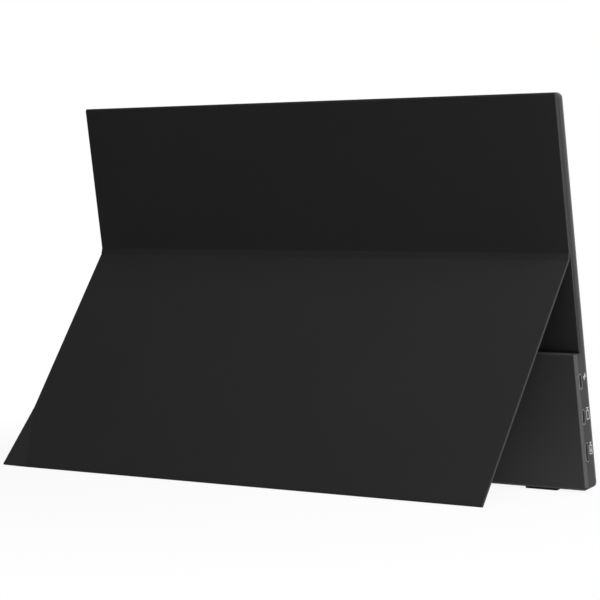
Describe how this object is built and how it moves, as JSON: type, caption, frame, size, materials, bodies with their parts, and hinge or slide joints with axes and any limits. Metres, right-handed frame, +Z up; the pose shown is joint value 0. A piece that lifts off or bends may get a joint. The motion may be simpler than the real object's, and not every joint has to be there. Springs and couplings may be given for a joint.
{
  "type": "portable monitor with folding cover",
  "caption": "Slim portable screen leaning back on a magnetic folding cover that wraps over its top edge and opens out behind as a stand.",
  "frame": {"origin": "middle of the part's box, on the table it stands on", "axes": "+X along the screen's width away from the sockets, +Y out behind the back where the flap stands, +Z up"},
  "size_m": [0.3564, 0.1152, 0.225],
  "materials": {
    "housing": "satin dark grey moulded shell",
    "bezel": "satin black moulded frame",
    "screen": "anti-glare panel, off",
    "film": "white film",
    "acrylic": "clear acrylic sheet",
    "steel": "plain sheet steel",
    "circuit_board": "green solder mask",
    "flex": "amber polyimide",
    "foam": "black foam tape",
    "chip": "black epoxy",
    "socket_metal": "plated sheet metal",
    "socket_plastic": "black moulding",
    "magnet": "nickel plated",
    "foot": "matte black rubber",
    "button": "satin black",
    "cover_skin": "matte black synthetic leather",
    "cover_lining": "matte black soft-touch face",
    "stiffener": "fibre board"
  },
  "bodies": {
    "monitor": {"back_tray": "housing", "lower_housing": "housing", "front_bezel": "bezel", "display_cell": "screen", "optical_films": "film", "light_guide": "acrylic", "reflector": "film", "panel_tray": "steel", "led_strip": "film", "driver_board": "circuit_board", "display_flex": "flex", "tray_tape": "foam", "main_board": "circuit_board", "board_chips": "chip", "board_shield": "steel", "board_screws": "steel", "usb_c_upper": "socket_metal", "usb_c_lower": "socket_metal", "mini_video_port": "socket_metal", "headphone_jack": "socket_plastic", "button_board": "circuit_board", "speaker_left": "socket_plastic", "speaker_right": "socket_plastic", "closing_magnets": "magnet", "foot_left": "foot", "foot_right": "foot"},
    "cover_base": {"base_skin": "cover_skin", "base_board": "stiffener", "base_lining": "cover_lining", "base_magnets": "magnet"},
    "spine_rear": {"spine_rear_strip": "cover_skin"},
    "spine_top": {"spine_top_strip": "cover_skin"},
    "cover_upper": {"upper_skin": "cover_skin", "upper_board": "stiffener", "upper_lining": "cover_lining", "upper_magnets": "magnet"},
    "stand_crease": {"crease_strip": "cover_lining"},
    "stand_flap": {"flap_skin": "cover_skin", "flap_board": "stiffener", "flap_lining": "cover_lining", "flap_magnets": "magnet"},
    "power_key": {"power_button": "button"},
    "menu_key": {"menu_rocker": "button"}
  },
  "joints": [
    {"name": "cover_detach", "type": "slide", "parent": "monitor", "child": "cover_base", "axis": [0, 0.1822, 0.9833], "range_m": [0, 0.16]},
    {"name": "cover_flip", "type": "hinge", "parent": "cover_base", "child": "spine_rear", "pos_m": [-0.0002, -0.01047, 0.22337], "axis": [1, 0, 0], "range_deg": [0, 175]},
    {"name": "spine_fold", "type": "hinge", "parent": "spine_rear", "child": "spine_top", "pos_m": [-0.0002, -0.00941, 0.22195], "axis": [1, 0, 0], "range_deg": [0, 95.01]},
    {"name": "front_fold", "type": "hinge", "parent": "spine_top", "child": "cover_upper", "pos_m": [-0.0002, -0.01029, 0.21666], "axis": [1, 0, 0], "range_deg": [0, 90.01]},
    {"name": "crease_fold", "type": "hinge", "parent": "cover_upper", "child": "stand_crease", "pos_m": [-0.0002, -0.02599, 0.13577], "axis": [1, 0, 0], "range_deg": [-47.61, 0]},
    {"name": "stand_fold", "type": "hinge", "parent": "stand_crease", "child": "stand_flap", "pos_m": [-0.0002, -0.02516, 0.13145], "axis": [1, 0, 0], "range_deg": [-39.5, 5]},
    {"name": "power_press", "type": "slide", "parent": "monitor", "child": "power_key", "axis": [-1, 0, 0], "range_m": [0, 0.0006], "stiffness_N_per_m": 900, "springref_m": -0.0006},
    {"name": "menu_rock", "type": "hinge", "parent": "monitor", "child": "menu_key", "pos_m": [0.1752, -0.04341, 0.04096], "axis": [0, 0.9833, -0.1822], "range_deg": [-2.5, 2.5], "stiffness_Nm_per_rad": 0.6}
  ],
  "couplings": [
    {"joint": "spine_fold", "follows": "cover_flip", "ratio": 0.54286},
    {"joint": "front_fold", "follows": "cover_flip", "ratio": 0.51429},
    {"joint": "crease_fold", "follows": "cover_flip", "ratio": -0.272}
  ]
}
